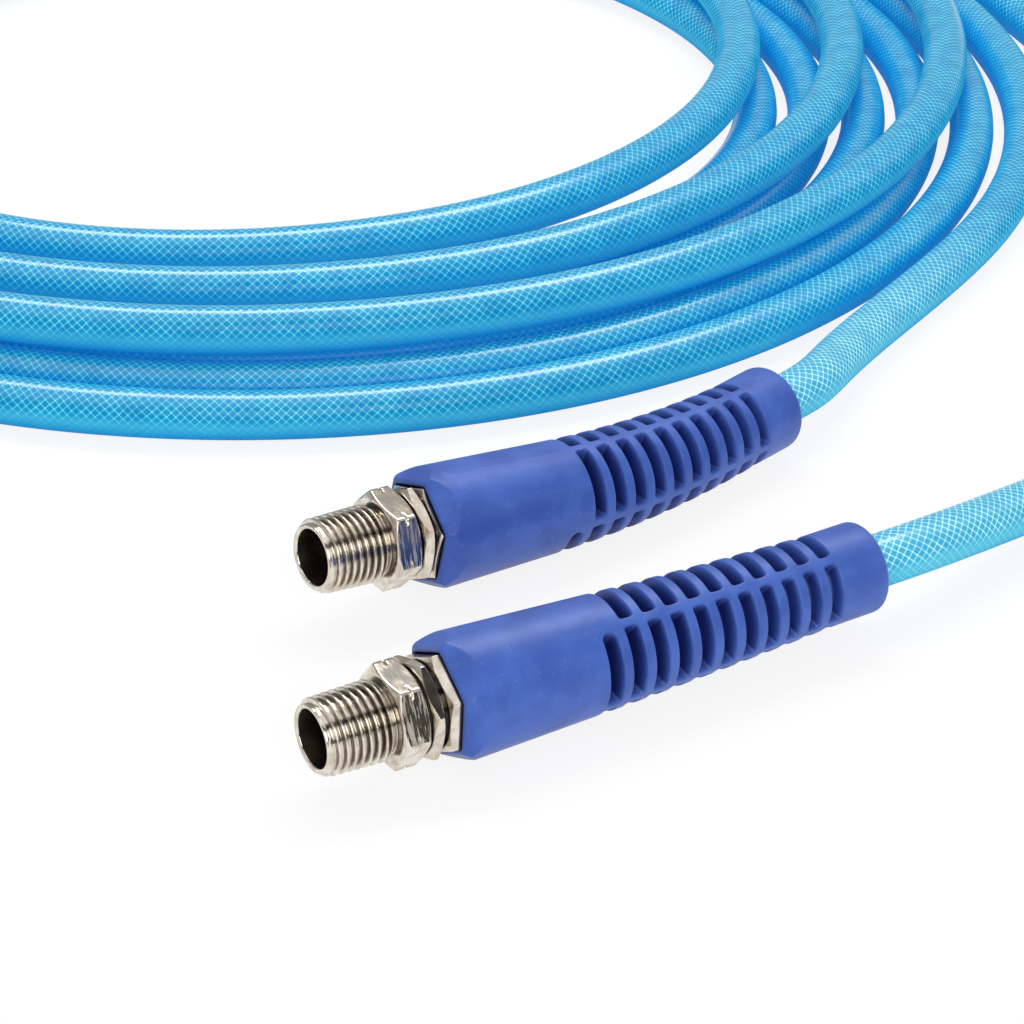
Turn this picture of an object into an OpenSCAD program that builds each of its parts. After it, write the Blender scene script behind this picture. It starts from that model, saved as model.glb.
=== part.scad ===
// Coiled air hose: braided hose wound in flat loops, with a swivel fitting in a slotted boot on each end.
// Millimetres. The origin is the middle of fitting A's mouth, +X runs along fitting A to its hose
// and +Z is up. Along a fitting, x counts from the mouth.

/* [Hose] */
// Outside diameter of the hose
hose_d = 9.5; // [9.3:0.1:9.7]
// Inside diameter of the hose
hose_bore_d = 6.4; // [6.2:0.1:6.6]

/* [Coil] */
// Radius at which the hose joins the bottom layer
coil_r = 163.6; // [160:0.2:167]
// Loops of the bottom layer, which spirals in
loops_in = 5.35; // [5.25:0.05:5.45]
// How much each bottom loop is smaller than the last
step_in = 11.8; // [11.6:0.1:12.4]
// Loops of the top layer, which spirals out
loops_out = 2.928; // [2.9:0.004:2.96]
// How much each top loop is larger than the last
step_out = 19.5; // [18:0.5:21]
// Height of the top layer above the bottom one
layer_step = 10.1; // [10:0.1:11]
// How far the top layer lies to the left of the bottom one
top_left = 11; // [9:0.5:12]
// How far the top layer lies behind the bottom one
top_back = 14.5; // [12:0.5:15]
// How far each top loop lies to the right of the last
top_drift = 4; // [2:0.5:5]

/* [Swivel] */
// Diameter of the tapered thread's crests at the mouth
thread_d = 13.25; // [13:0.05:13.5]
// Length of the thread
thread_len = 11.2; // [10.5:0.1:12]
// Length of the neck between thread and hexagon
neck_len = 1.4; // [1:0.1:2]
// Diameter of the bore at the mouth
mouth_d = 10; // [9.8:0.1:10.3]
// Width of the swivel's hexagon across flats
swivel_af = 15.9; // [15.5:0.1:16.2]
// Length of the swivel's hexagon
swivel_hex_len = 5; // [4.6:0.1:6]
// Diameter of the stem's journal, on which the swivel turns
journal_d = 8.1; // [7.9:0.1:8.3]

/* [Stem] */
// Width of the stem's hexagon across flats
stem_af = 15.9; // [15.5:0.1:16.2]
// Length of the stem's hexagon
stem_hex_len = 2.2; // [2:0.1:3]
// Diameter of the bore through the stem
stem_bore_d = 4.6; // [4.2:0.1:5]
// Diameter of the stem's thread under the nut
stem_thread_d = 13.2; // [13:0.1:13.4]
// Length of the stem's thread
stem_thread_len = 8.7; // [8:0.1:9.5]
// Diameter of the barb between its crests
barb_root_d = 6.2; // [6:0.1:6.3]
// Diameter of the barb's crests
barb_crest_d = 7.2; // [7:0.1:7.4]
// Length of the barb behind the thread
barb_len = 14; // [13:0.5:15]
// Number of crests on the barb
barbs = 5; // [4:1:6]
// Thickness of the thrust washer
washer_t = 0.9; // [0.7:0.1:1.2]
// Width of the thrust washer's ring
washer_w = 2.4; // [2:0.1:2.5]
// Thickness of the swivel's retaining ring
ring_t = 0.7; // [0.6:0.1:0.8]
// Thickness of the seal's cord
seal_t = 0.9; // [0.8:0.05:1]

/* [Nut and sleeve] */
// Width of the nut's hexagon across flats
nut_af = 15.9; // [15.5:0.1:16.2]
// Length of the nut's hexagon
nut_hex_len = 11.9; // [11:0.1:13]
// Diameter of the nut's round skirt
nut_skirt_d = 14.6; // [14.4:0.1:15]
// Length of the nut's round skirt
nut_skirt_len = 9; // [8:0.5:10]
// Length of the clamp sleeve
sleeve_len = 9; // [8:0.5:9.5]
// Wall of the clamp sleeve at its thick end
sleeve_wall = 0.9; // [0.8:0.1:1]
// Width of the slit in the clamp sleeve
sleeve_slit = 1.2; // [1:0.1:2]

/* [Boot] */
// Diameter of the boot at its nose
boot_nose_d = 22.2; // [22:0.1:23]
// Diameter of the boot at its collar
boot_collar_d = 16.3; // [16:0.1:17]
// Distance from the nose's rim to the first slot
boot_front_len = 27.1; // [26:0.1:29]
// Number of slots along the boot
slots = 11; // [8:1:11]
// Distance from slot to slot
slot_pitch = 4.54; // [4.4:0.02:4.8]
// Width of a slot
slot_w = 2.85; // [2.5:0.05:3]
// Length of the collar behind the slots
collar_len = 10; // [8:0.5:12]
// Width of the four rails that join the ribs
rail_w = 1.9; // [1.6:0.1:2.2]
// Diameter of the core at the bottom of the slots
boot_core_d = 11.8; // [11.6:0.1:12.2]
// Wall of the nose over the nut's flats
nose_wall = 0.9; // [0.8:0.1:1.2]
// Slope of the nose's flats, in degrees
nose_draft = 30; // [25:1:35]

/* [Hidden] */

// Facets of a circle
round_fn = 96;
// Ends of the hose, as indices of the lists below
A = 0;
B = 1;

// How the two fittings lie: mouth, heading to the left, and slope down to the hose, in degrees
mouth = [[0, 0, 0], [26.05, 48.57, 2.58]];
heading = [0, 4.17];
slope = [0, 4];
// Bend of each boot in degrees, and how far the bend's plane is turned up from level
bend = [2.9, 13.6];
bend_plane = [0, 17.7];
// Turns of the hexagons and the boot about their axis, from a corner or parting rail at the top
swivel_turn = [38, 42.5];
stem_turn = [14.5, 4.5];
boot_turn = [-55.5, 11.5];
// How much nearer the mouth nut and boot sit on end B
screwed_on = [0, 0.5];
pushed_on = [0, 1.8];

// Clearances
run_gap = 0.05;
seat_gap = 0.05;
thread_gap = 0.05;
hose_gap = 0.1;
socket_gap = 0.1;
skirt_gap = 0.4;
end_gap = 0.4;
hex_gap = 0.5;
nut_gap = 0.8;
rim_back = 2.1;
// Small edges, and how far a cutting shape reaches past a face
edge = 0.5;
past = 1;
hex_chamfer_slope = 0.5;
bridge_in = 0.4;
rail_inset = 0.05;
collar_round = 1.2;

// Radii
hose_r = hose_d / 2;
hose_bore_r = hose_bore_d / 2;
hose_wall = hose_r - hose_bore_r;
mouth_r = mouth_d / 2;
journal_r = journal_d / 2;
swivel_bore_r = journal_r + run_gap;
ring_r = swivel_bore_r + 0.5;
ring_seat_r = ring_r + 0.15;
ring_groove_r = journal_r - 0.6;
seal_groove_r = journal_r - seal_t;
stem_thread_r = stem_thread_d / 2;
barb_root_r = barb_root_d / 2;
barb_crest_r = barb_crest_d / 2;
swollen_bore_r = barb_crest_r;
swollen_r = swollen_bore_r + hose_wall;
sleeve_r = swollen_r + sleeve_wall;
sleeve_thin_r = swollen_r + sleeve_wall / 2;
nut_skirt_r = nut_skirt_d / 2;
boot_nose_r = boot_nose_d / 2;
boot_collar_r = boot_collar_d / 2;
boot_core_r = boot_core_d / 2;
boot_bore_r = hose_r + hose_gap;
nose_apothem = nut_af / 2 + socket_gap + nose_wall;

// Stations along a fitting
thread_taper = 1 / 32;
thread_chamfer = 1;
neck_r = thread_d / 2 - 0.75;
swivel_hex_x = thread_len + neck_len;
swivel_end_x = swivel_hex_x + swivel_hex_len;
stem_hex_x = swivel_end_x + hex_gap;
stem_hex_end_x = stem_hex_x + stem_hex_len;
washer_x = stem_hex_x - washer_t;
washer_seat_x = washer_x - seat_gap;
washer_r = journal_r + washer_w;
ring_shoulder_x = 9.6;
ring_x = ring_shoulder_x - seat_gap - ring_t;
stem_tip_x = ring_x - edge;
bore_end_x = stem_tip_x - seat_gap;
seal_x = swivel_hex_x + 0.7;
seal_groove_w = seal_t + 0.4;
stem_thread_end_x = stem_hex_end_x + stem_thread_len;
barb_lead = 2;
barb_step = (barb_len - barb_lead) / barbs;
barb_end_x = stem_thread_end_x + barb_len;
hose_front_x = stem_thread_end_x + end_gap;
sleeve_x = hose_front_x + 1.6;
nut_x = [for (e = [A, B]) stem_hex_end_x + nut_gap - screwed_on[e]];
nut_skirt_x = [for (e = [A, B]) nut_x[e] + nut_hex_len];
nut_end_x = [for (e = [A, B]) nut_skirt_x[e] + nut_skirt_len];
rim_x = [for (e = [A, B]) stem_hex_end_x + nut_gap + rim_back - pushed_on[e]];
slots_x = [for (e = [A, B]) rim_x[e] + boot_front_len];
slots_len = (slots - 1) * slot_pitch + slot_w;
collar_x = [for (e = [A, B]) slots_x[e] + slots_len];
boot_end_x = [for (e = [A, B]) collar_x[e] + collar_len];
boot_taper = (boot_nose_r - boot_collar_r) / (boot_front_len + slots_len);

// The floor under the boots' noses, and the layers of the coil on it
floor_z = -boot_nose_r;
sunk = hose_d / 10;
bottom_z = floor_z + hose_r - sunk;
coil_centre = [127, 250];
coil_start_angle = -60;
loops = loops_in + loops_out;
coil_rings = round(24 * loops);
coil_sides = 6;
tail_sides = 8;
tail_rings_per_span = 3;
hose_end_sides = 24;
layer_rise_loops = 0.5;
shift_lag_loops = 0.3;

// Free tails: points chosen by hand between boot and coil
tail_a_points = [[141, 7.5, -2.5], [166, 14.5, -5], [190, 25, -6.3], [215, 42, -6.3], [240, 70, -6.3],
                 [260, 105, -6.3], [277, 140, -6.3], [289, 175, -6.3], [297, 210, -6.3], [302, 250, -6.3],
                 [304, 300, -5.5], [304, 350, -2.5], [304, 405, 1], [292.5, 432.5, 2.3], [265.5, 444, 2.8],
                 [238.5, 432.5, 2.8], [227, 405, 2.8]];
tail_b_points = [[152.5, 75, -4], [171, 87.5, -6]];

function unit(v) = v / norm(v);
function turn_x(v, a) = [v[0], v[1] * cos(a) - v[2] * sin(a), v[1] * sin(a) + v[2] * cos(a)];
function turn_y(v, a) = [v[0] * cos(a) + v[2] * sin(a), v[1], v[2] * cos(a) - v[0] * sin(a)];
function turn_z(v, a) = [v[0] * cos(a) - v[1] * sin(a), v[0] * sin(a) + v[1] * cos(a), v[2]];

// Radius of a boot's bent centreline, and the end of the boot in the fitting's own frame
function bend_r(e) = slots_len * 180 / PI / bend[e];
function bent_end(e) = bend_point(e, bend[e])
    + turn_x([collar_len * cos(bend[e]), collar_len * sin(bend[e]), 0], bend_plane[e]);
function bend_point(e, a) = turn_x([slots_x[e] + bend_r(e) * sin(a), bend_r(e) * (1 - cos(a)), 0], bend_plane[e]);
function laid(v, e) = turn_z(turn_y(v, slope[e]), heading[e]);
function exit_point(e) = mouth[e] + laid(bent_end(e), e);
function exit_dir(e) = laid(turn_x([cos(bend[e]), sin(bend[e]), 0], bend_plane[e]), e);

// The coil's centreline after t loops: in at a steady rate, then out again on the layer above.
// Once it is up there it moves aside, and each loop lies a little further to the right.
function loop_r(t) = coil_r - step_in * min(t, loops_in) + step_out * max(t - loops_in, 0);
function rise(t) = min(max((t - loops_in) / layer_rise_loops + 0.5, 0), 1);
function eased(u) = u * u * (3 - 2 * u);
function loop_point(t) = let (
    angle = coil_start_angle + 360 * t,
    shifted = eased(rise(t - shift_lag_loops)),
    drifted = top_drift * max(t - loops_in, 0))
    [coil_centre[0] - top_left * shifted + drifted + loop_r(t) * cos(angle),
     coil_centre[1] + top_back * shifted + loop_r(t) * sin(angle),
     bottom_z + layer_step * eased(rise(t))];
coil_curve = [for (i = [0 : coil_rings]) loop_point(loops * i / coil_rings)];
function loop_dir(t) = let (angle = coil_start_angle + 360 * t) [-sin(angle), cos(angle), 0];
coil_start_dir = loop_dir(0);
coil_end_dir = loop_dir(loops);
coil_path = concat([coil_curve[0] - coil_start_dir * hose_d], coil_curve,
                   [coil_curve[coil_rings] + coil_end_dir * hose_d]);

// Least distance between turns of the coil, less the hose's diameter
coil_gap = min([for (i = [0 : len(coil_path) - 1], j = [i + 13 : 1 : len(coil_path) - 1])
                norm(coil_path[i] - coil_path[j])]) - hose_d;
echo(coil_gap = coil_gap);

// A smooth curve through the points p: n steps on each span, but the first and last span stay straight
function span_point(p, i, u) = let (
    a = p[max(i - 1, 0)],
    b = p[i],
    c = p[i + 1],
    d = p[min(i + 2, len(p) - 1)])
    b + (c - a) * u / 2 + (2 * a - 5 * b + 4 * c - d) * u * u / 2 + (3 * b - a - 3 * c + d) * pow(u, 3) / 2;
function smooth(p, n) = concat([p[0]], [for (i = [1 : len(p) - 3], k = [0 : n - 1]) span_point(p, i, k / n)],
                               [p[len(p) - 2], p[len(p) - 1]]);

// One ring of m corners round point p, square to direction t and kept above the floor
function ring_points(p, t, r, m) = let (
    side = unit(cross(t, [0, 0, 1])),
    up = cross(side, t))
    [for (k = [0 : m - 1]) let (
        angle = 360 * k / m,
        q = p + side * r * cos(angle) + up * r * sin(angle))
        [q[0], q[1], max(q[2], floor_z)]];
function path_dir(p, i) = unit(p[min(i + 1, len(p) - 1)] - p[max(i - 1, 0)]);

// Triangles between the n rings of m corners that start at corner first
function tube_sides(n, m, first) = [for (i = [0 : n - 2], k = [0 : m - 1])
    each let (a = first + i * m + k, b = first + i * m + (k + 1) % m) [[a, b, b + m], [a, b + m, a + m]]];
// Triangles of a flat ring between the m corners at a and the m at b
function flat_ring(a, b, m) = [for (k = [0 : m - 1])
    each let (j = (k + 1) % m) [[a + k, b + k, b + j], [a + k, b + j, a + j]]];
function turned_over(faces) = [for (f = faces) [f[0], f[2], f[1]]];

// A round cord along the path p, one unbroken tube of triangles with closed ends
module cord(p, r, m) {
    n = len(p);
    corners = [for (i = [0 : n - 1]) each ring_points(p[i], path_dir(p, i), r, m)];
    first_end = [for (k = [1 : m - 2]) [0, k + 1, k]];
    last_end = [for (k = [1 : m - 2]) [(n - 1) * m, (n - 1) * m + k, (n - 1) * m + k + 1]];
    polyhedron(points = corners, faces = concat(tube_sides(n, m, 0), first_end, last_end));
}

// A hollow cord along the path p, with an outer and a bore radius at each point
module hollow_cord(p, outer, bore, m) {
    n = len(p);
    outside = [for (i = [0 : n - 1]) each ring_points(p[i], path_dir(p, i), outer[i], m)];
    inside = [for (i = [0 : n - 1]) each ring_points(p[i], path_dir(p, i), bore[i], m)];
    half = n * m;
    polyhedron(points = concat(outside, inside),
               faces = concat(tube_sides(n, m, 0), turned_over(tube_sides(n, m, half)),
                              flat_ring(0, half, m), flat_ring(half + (n - 1) * m, (n - 1) * m, m)));
}

module turned(profile) {
    rotate([0, 90, 0])
        rotate_extrude($fn = round_fn)
            polygon([for (p = profile) [p[1], p[0]]]);
}

module rod(x0, x1, r) {
    translate([x0, 0, 0])
        rotate([0, 90, 0])
            cylinder(h = x1 - x0, r = r, $fn = round_fn);
}

// A hexagon prism along x with one corner at the top, both ends turned to a cone
module hex_bar(x0, x1, af, front_bevel, back_bevel) {
    corner_r = af / sqrt(3);
    bevel = (corner_r - af / 2 + edge / 2) * hex_chamfer_slope;
    face_r = af / 2 - edge / 2;
    intersection() {
        translate([x0, 0, 0])
            rotate([0, 90, 0])
                cylinder(h = x1 - x0, r = corner_r, $fn = 6);
        turned([[x0, 0], [x0, front_bevel ? face_r : corner_r + past], [x0 + bevel, corner_r + edge / 4],
                [x1 - bevel, corner_r + edge / 4], [x1, back_bevel ? face_r : corner_r + past], [x1, 0]]);
    }
}

// Places children on the fitting, x from the mouth
module on_fitting(e) {
    translate(mouth[e])
        rotate([0, slope[e], heading[e]])
            children();
}

// Places children at angle a of the boot's bend, with the bend's plane turned as it lies
module on_bend(e, a) {
    rotate([bend_plane[e], 0, 0])
        translate([slots_x[e] + bend_r(e) * sin(a), bend_r(e) * (1 - cos(a)), 0])
            rotate([0, 0, a])
                rotate([-bend_plane[e], 0, 0])
                    children();
}

module hose_coil() {
    color("#1a9ad6")
        cord(coil_path, hose_r, coil_sides);
}

// A free tail from the boot's end through its points to the coil's end at q, which it meets along dir
module hose_tail(e, points, q, dir) {
    ends = [exit_point(e), exit_point(e) + exit_dir(e) * hose_d];
    path = smooth(concat(ends, points, [q - dir * hose_d, q]), tail_rings_per_span);
    color("#45b8de")
        cord(path, hose_r, tail_sides);
}

// The hose inside the boot: widened over the barb, then plain and bent to the boot's end
module hose_end(e) {
    straight = [[hose_front_x, 0, 0], [barb_end_x, 0, 0], [barb_end_x + barb_step, 0, 0], [slots_x[e], 0, 0]];
    bent = [for (k = [1 : slots]) bend_point(e, bend[e] * k / slots)];
    path = concat(straight, bent, [bent_end(e)]);
    corner = 1 / cos(180 / hose_end_sides);
    outer = [for (i = [0 : len(path) - 1]) i < 2 ? swollen_r : hose_r];
    bore = [for (i = [0 : len(path) - 1]) i < 2 ? swollen_bore_r * corner + run_gap : hose_bore_r];
    color("#45b8de")
        on_fitting(e)
            hollow_cord(path, outer, bore, hose_end_sides);
}

// The boot's cone at distance x behind its rim
function boot_r(x) = boot_nose_r - boot_taper * x;

// A stretch of the boot's cone with a bore, from x0 to x1 round the middle x of the whole boot
module cone_ring(x, x0, x1, inset, bore) {
    turned([[x0, bore], [x0, boot_r(x + x0) - inset], [x1, boot_r(x + x1) - inset], [x1, bore]]);
}

// What joins two ribs across slot k, set into them: the core and the four rails
module slot_bridge(k) {
    half = slot_w / 2 + bridge_in;
    mid = boot_front_len + slot_w / 2 + k * slot_pitch;
    if (k == 0)
        difference() {
            cone_ring(mid, -half, half, rail_inset, boot_bore_r + rail_inset);
            first_slot_cut();
        }
    else
        intersection() {
            cone_ring(mid, -half, half, rail_inset, boot_bore_r + rail_inset);
            union() {
                rod(-half, half, boot_core_r);
                translate([-half, -rail_w / 2, -boot_nose_r])
                    cube([2 * half, rail_w, 2 * boot_nose_r]);
                translate([-half, -boot_nose_r, -rail_w / 2])
                    cube([2 * half, 2 * boot_nose_r, rail_w]);
            }
        }
}

// The foremost slot opens only beside the lower rail, and is round where it nears the side rails
module first_slot_cut() {
    round_z = -(rail_w + slot_w) / 2;
    reach = boot_nose_r;
    for (side = [0, 1])
        mirror([0, side, 0])
            difference() {
                union() {
                    translate([-slot_w / 2, rail_w / 2, round_z - reach])
                        cube([slot_w, reach, reach]);
                    translate([0, rail_w / 2, round_z])
                        rotate([-90, 0, 0])
                            cylinder(h = reach, d = slot_w, $fn = round_fn);
                }
                rod(-slot_w, slot_w, boot_core_r);
            }
}

// The boot's closed front: hexagon socket, skirt bore and room for the widened hose inside,
// sloping flats at the rim
module boot_front(e) {
    rim = rim_x[e];
    socket_end = nut_skirt_x[e] + end_gap;
    skirt_end = nut_end_x[e] + end_gap;
    widened_end = max(skirt_end, barb_end_x);
    difference() {
        turned([[rim, 0], [rim, boot_nose_r], [slots_x[e], boot_r(boot_front_len)], [slots_x[e], 0]]);
        nose_flats(rim);
        translate([rim - past, 0, 0])
            rotate([0, 90, 0])
                cylinder(h = socket_end - rim + past, r = (nut_af + 2 * socket_gap) / sqrt(3), $fn = 6);
        turned([[rim, 0], [rim, nut_skirt_r + skirt_gap], [skirt_end, nut_skirt_r + skirt_gap],
                [skirt_end, swollen_r + hose_gap], [widened_end, swollen_r + hose_gap],
                [widened_end + barb_step, boot_bore_r], [slots_x[e] + past, boot_bore_r],
                [slots_x[e] + past, 0]]);
    }
}

module boot_collar() {
    turned([[0, boot_bore_r], [0, boot_collar_r], [collar_len - collar_round, boot_collar_r],
            [collar_len - collar_round / 3, boot_collar_r - collar_round / 3],
            [collar_len, boot_collar_r - collar_round], [collar_len, boot_bore_r]]);
}

module bend_restrictor(e) {
    rib_w = slot_pitch - slot_w;
    color("#3f5fc0")
        on_fitting(e) {
            rotate([boot_turn[e], 0, 0])
                boot_front(e);
            for (k = [0 : slots - 1])
                on_bend(e, bend[e] * (k * slot_pitch + slot_w / 2) / slots_len)
                    rotate([boot_turn[e], 0, 0])
                        slot_bridge(k);
            for (k = [1 : slots - 1])
                on_bend(e, bend[e] * (k * slot_pitch - rib_w / 2) / slots_len)
                    cone_ring(boot_front_len + k * slot_pitch - rib_w / 2, -rib_w / 2, rib_w / 2, 0, boot_bore_r);
            on_bend(e, bend[e])
                boot_collar();
        }
}

// Six sloping flats that turn the nose's rim into a hexagon
module nose_flats(rim) {
    for (k = [0 : 5])
        rotate([60 * k + 30, 0, 0])
            translate([rim, 0, nose_apothem])
                rotate([0, -nose_draft, 0])
                    translate([-boot_nose_r, -boot_nose_r, 0])
                        cube([3 * boot_nose_r, 2 * boot_nose_r, boot_nose_r]);
}

// The nut: hexagon and round skirt outside, thread and closing cone inside
module compression_nut(e) {
    thread_r = stem_thread_r + thread_gap;
    cone_x = sleeve_x - end_gap;
    cone_end_x = sleeve_x + sleeve_len;
    color("#c8beb0")
        on_fitting(e)
            difference() {
                union() {
                    rotate([boot_turn[e], 0, 0])
                        hex_bar(nut_x[e], nut_skirt_x[e], nut_af, true, true);
                    rod(nut_skirt_x[e] - edge, nut_end_x[e], nut_skirt_r);
                }
                turned([[nut_x[e] - past, 0], [nut_x[e] - past, thread_r], [cone_x, thread_r],
                        [sleeve_x, sleeve_r + hose_gap], [cone_end_x, sleeve_thin_r + hose_gap],
                        [nut_end_x[e] + past, sleeve_thin_r + hose_gap], [nut_end_x[e] + past, 0]]);
            }
}

// The split cone that the nut closes on the hose
module clamp_sleeve(e) {
    color("#b08d57")
        on_fitting(e)
            difference() {
                turned([[sleeve_x, swollen_r], [sleeve_x, sleeve_r], [sleeve_x + sleeve_len, sleeve_thin_r],
                        [sleeve_x + sleeve_len, swollen_r]]);
                translate([sleeve_x - past, -sleeve_slit / 2, 0])
                    cube([sleeve_len + 2 * past, sleeve_slit, sleeve_r + past]);
            }
}

// The stem: journal with two grooves, hexagon, thread, and barbs that point away from the hose's end
module barb_stem(e) {
    color("#c8beb0")
        on_fitting(e)
            difference() {
                union() {
                    rod(stem_tip_x, ring_x, journal_r);
                    rod(ring_x - edge / 2, ring_shoulder_x, ring_groove_r);
                    rod(ring_shoulder_x, seal_x - seal_groove_w / 2, journal_r);
                    rod(seal_x - seal_groove_w, seal_x + seal_groove_w, seal_groove_r);
                    rod(seal_x + seal_groove_w / 2, stem_hex_x + edge, journal_r);
                    rotate([stem_turn[e], 0, 0])
                        hex_bar(stem_hex_x, stem_hex_end_x, stem_af, true, true);
                    rod(stem_hex_end_x - edge, stem_thread_end_x, stem_thread_r);
                    rod(stem_thread_end_x - edge, barb_end_x, barb_root_r);
                    for (k = [0 : barbs - 1])
                        translate([stem_thread_end_x + barb_lead + k * barb_step, 0, 0])
                            turned([[0, 0], [0, barb_crest_r], [barb_step - edge, barb_root_r],
                                    [barb_step - edge, 0]]);
                }
                rod(stem_tip_x - past, barb_end_x + past, stem_bore_d / 2);
            }
}

// The turning hexagon with its tapered pipe thread, shown as the plain cone over the crests
module swivel_body(e) {
    tip_r = thread_d / 2;
    color("#c8beb0")
        on_fitting(e)
            difference() {
                union() {
                    turned([[0, 0], [0, tip_r - thread_chamfer], [thread_chamfer, tip_r],
                            [thread_len, tip_r + thread_len * thread_taper], [thread_len + edge, neck_r],
                            [swivel_hex_x + edge, neck_r], [swivel_hex_x + edge, 0]]);
                    rotate([swivel_turn[e], 0, 0])
                        hex_bar(swivel_hex_x, swivel_end_x, swivel_af, true, true);
                }
                turned([[-past, 0], [-past, mouth_r + edge / 2], [0, mouth_r + edge / 2], [edge / 2, mouth_r],
                        [bore_end_x, mouth_r], [bore_end_x, ring_seat_r], [ring_shoulder_x, ring_seat_r],
                        [ring_shoulder_x, swivel_bore_r], [washer_seat_x, swivel_bore_r],
                        [washer_seat_x, washer_r + run_gap * 2], [swivel_end_x + past, washer_r + run_gap * 2],
                        [swivel_end_x + past, 0]]);
            }
}

module swivel_oring(e) {
    color("#202020")
        on_fitting(e)
            translate([seal_x, 0, 0])
                rotate([0, 90, 0])
                    rotate_extrude($fn = round_fn)
                        translate([seal_groove_r + seal_t / 2, 0])
                            circle(d = seal_t, $fn = round_fn);
}

module retaining_ring(e) {
    color("#a8a8a0")
        on_fitting(e)
            difference() {
                rod(ring_x, ring_x + ring_t, ring_r);
                rod(ring_x - past, ring_x + ring_t + past, ring_groove_r);
            }
}

module thrust_washer(e) {
    color("#e8e4da")
        on_fitting(e)
            difference() {
                rod(washer_x, stem_hex_x, washer_r);
                rod(washer_x - past, stem_hex_x + past, journal_r);
            }
}

hose_coil();
hose_tail(A, tail_a_points, coil_path[len(coil_path) - 1], -coil_end_dir);  // hose_tail_a
hose_tail(B, tail_b_points, coil_path[0], coil_start_dir);  // hose_tail_b
hose_end(A);  // hose_end_a
bend_restrictor(A);  // bend_restrictor_a
compression_nut(A);  // compression_nut_a
clamp_sleeve(A);  // clamp_sleeve_a
barb_stem(A);  // barb_stem_a
swivel_body(A);  // swivel_body_a
swivel_oring(A);  // swivel_oring_a
retaining_ring(A);  // retaining_ring_a
thrust_washer(A);  // thrust_washer_a
hose_end(B);  // hose_end_b
bend_restrictor(B);  // bend_restrictor_b
compression_nut(B);  // compression_nut_b
clamp_sleeve(B);  // clamp_sleeve_b
barb_stem(B);  // barb_stem_b
swivel_body(B);  // swivel_body_b
swivel_oring(B);  // swivel_oring_b
retaining_ring(B);  // retaining_ring_b
thrust_washer(B);  // thrust_washer_b
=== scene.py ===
# %% [markdown]
# # A coiled air hose with a swivel fitting on each end
# A workshop's air hose lies in flat loops on a pale floor: clear polyurethane over a yarn braid.
# Both ends come back to the front. Each carries a royal-blue bend restrictor, which keeps the
# hose from kinking, and a nickel-plated brass fitting, whose threaded hexagon turns freely on its
# stem.
#
# The object's solids come in ready made, as a fixed frame. Nuts, stems and the parts inside are
# shown as they are. The hose, the boots and the threaded hexagons each get a finer surface of the
# same size in the same place. The script goes from the frame to the camera, the hose, the
# fittings, the finishes and the light. All sizes are in millimetres and are turned into metres
# where they enter Blender.

import bpy
import numpy as np
from mathutils import Matrix, Vector


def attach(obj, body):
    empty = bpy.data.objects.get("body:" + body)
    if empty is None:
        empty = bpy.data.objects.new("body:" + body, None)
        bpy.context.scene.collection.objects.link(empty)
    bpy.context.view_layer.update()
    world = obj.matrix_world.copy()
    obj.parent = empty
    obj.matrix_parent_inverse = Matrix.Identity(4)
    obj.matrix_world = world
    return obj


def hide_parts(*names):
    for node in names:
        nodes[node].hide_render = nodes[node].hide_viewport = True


MM = 0.001

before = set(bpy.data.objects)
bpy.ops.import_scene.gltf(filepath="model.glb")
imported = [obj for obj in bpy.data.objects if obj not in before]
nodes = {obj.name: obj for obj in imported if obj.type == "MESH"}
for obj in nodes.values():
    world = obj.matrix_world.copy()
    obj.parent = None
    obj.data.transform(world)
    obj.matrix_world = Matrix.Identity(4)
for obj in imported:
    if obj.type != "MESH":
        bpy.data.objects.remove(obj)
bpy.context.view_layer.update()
print("nodes:", len(nodes))


# %% [markdown]
# ## The camera
# The object is seen from in front and above with a long lens, which shows near and far loops
# almost equally large. A camera can be dragged into place by hand, but then nobody can say why it
# stands there. Here it is set out from one known point, the middle of fitting A's mouth, which is
# the origin: how far away it is, how the camera is turned, and where that point falls in the
# square picture.

# %% Camera
PICTURE = 1024  # pixels
CAMERA_DISTANCE = 650
CAMERA_ELEVATION = 28.53  # degrees above the floor
CAMERA_TURN = 30.59  # degrees from straight ahead
FOCAL_PIXELS = 4059.2
SENSOR = 36
ORIGIN_PIXEL = (311.4, 739.3)
NEAR_CLIP, FAR_CLIP = 10, 20000


def place_camera():
    """Right, up and forward are worked out from turn and elevation. The camera stands back from
    the origin along forward, and aside by what the origin's pixel is off the picture's middle."""
    turn, elevation = np.radians(CAMERA_TURN), np.radians(CAMERA_ELEVATION)
    right = np.array([np.cos(turn), -np.sin(turn), 0])
    away = np.array([np.sin(turn), np.cos(turn), 0])
    forward = away * np.cos(elevation) - np.array([0, 0, np.sin(elevation)])
    up = away * np.sin(elevation) + np.array([0, 0, np.cos(elevation)])
    aside = (ORIGIN_PIXEL[0] - PICTURE / 2) / FOCAL_PIXELS * CAMERA_DISTANCE
    above = (PICTURE / 2 - ORIGIN_PIXEL[1]) / FOCAL_PIXELS * CAMERA_DISTANCE
    place = -(right * aside + up * above + forward * CAMERA_DISTANCE) * MM
    data = bpy.data.cameras.new("camera")
    data.sensor_width = SENSOR
    data.lens = FOCAL_PIXELS * SENSOR / PICTURE
    data.clip_start = NEAR_CLIP * MM
    data.clip_end = FAR_CLIP * MM
    item = bpy.data.objects.new("camera", data)
    rows = [(*row, place[k]) for k, row in enumerate(zip(right, up, -forward))]
    item.matrix_world = Matrix((*rows, (0, 0, 0, 1)))
    bpy.context.scene.collection.objects.link(item)
    bpy.context.scene.camera = item
    return item


camera = place_camera()
print("lens", round(camera.data.lens, 1), "mm at", [round(v, 3) for v in camera.location])


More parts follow.
